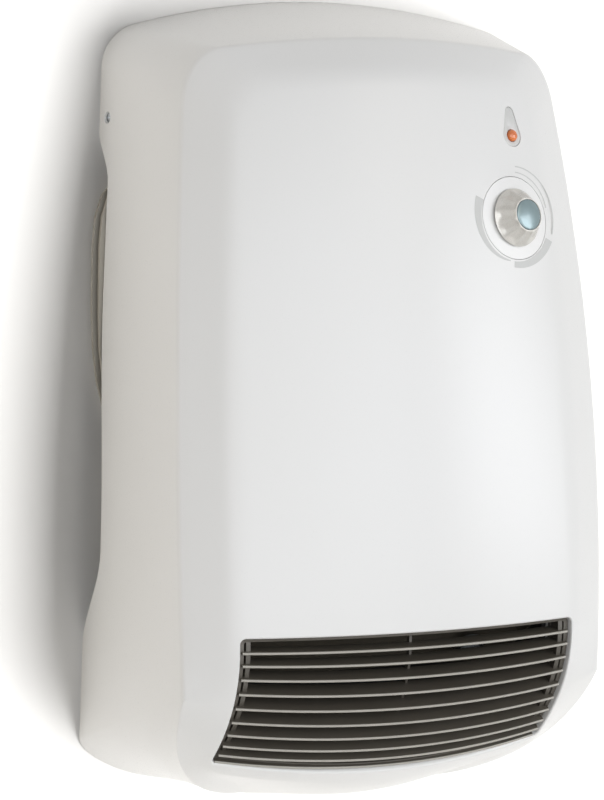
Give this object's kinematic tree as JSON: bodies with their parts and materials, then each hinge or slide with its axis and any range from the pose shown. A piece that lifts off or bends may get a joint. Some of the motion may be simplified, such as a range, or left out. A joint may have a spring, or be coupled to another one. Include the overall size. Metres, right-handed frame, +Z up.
{
  "type": "wall fan heater",
  "caption": "Arched wall-hung fan heater: white casing curling back to a louvred outlet, side intakes, thermostat knob, lamp, cross-flow fan and heating element.",
  "frame": {"origin": "middle of the wall bracket's back face, on the wall", "axes": "+Z up, +X to the right as seen from the front, the front faces -Y and +Y goes into the wall"},
  "size_m": [0.246, 0.172, 0.4],
  "materials": {
    "casing_white": "satin",
    "grille_dark": "matt",
    "dial_white": "satin",
    "knob_pearl": "pearl",
    "cap_aqua": "gloss",
    "brass": "turned",
    "cream_plastic": "matt",
    "zinc_steel": "zinc plated",
    "copper": "drawn copper",
    "black_plastic": "matt",
    "plate_grey": "satin",
    "lens_orange": "clear gloss",
    "bright_steel": "bright",
    "housing_beige": "matt",
    "black_rubber": "matt",
    "rotor_black": "matt",
    "mica": "matt",
    "heating_alloy": "dull"
  },
  "bodies": {
    "heater": {"front_casing": "casing_white", "outlet_grille": "grille_dark", "dial_ring": "dial_white", "thermostat_body": "cream_plastic", "thermostat_bracket": "zinc_steel", "sensor_bulb": "copper", "sensor_clip": "black_plastic", "lamp_plate": "plate_grey", "lamp_lens": "lens_orange", "lamp_body": "black_plastic", "side_screw_left": "bright_steel", "side_screw_right": "bright_steel", "rear_housing": "housing_beige", "wall_bracket": "zinc_steel", "wall_screw_left": "bright_steel", "wall_screw_right": "bright_steel", "cable_grommet": "black_rubber", "cable_clamp": "black_plastic", "terminal_block": "cream_plastic", "fan_housing": "housing_beige", "vortex_tongue": "housing_beige", "bush_left": "black_rubber", "bush_right": "black_rubber", "motor_bracket": "zinc_steel", "motor_stator": "zinc_steel", "motor_coil": "copper", "heater_frame": "mica", "heater_ribbon_1": "heating_alloy", "heater_ribbon_2": "heating_alloy", "heater_ribbon_3": "heating_alloy", "thermal_cutout": "zinc_steel"},
    "knob": {"thermostat_knob": "knob_pearl", "knob_cap": "cap_aqua", "thermostat_spindle": "brass"},
    "fan": {"fan_rotor": "rotor_black", "fan_shaft": "bright_steel", "motor_rotor": "bright_steel"}
  },
  "joints": [
    {"name": "knob_turn", "type": "hinge", "parent": "heater", "child": "knob", "pos_m": [0.0623, -0.10538, -0.0036], "axis": [-0.2427, 0.944, -0.2234], "range_deg": [0, 280]},
    {"name": "fan_spin", "type": "hinge", "parent": "heater", "child": "fan", "pos_m": [0, -0.058, -0.132], "axis": [1, 0, 0], "continuous": true}
  ]
}
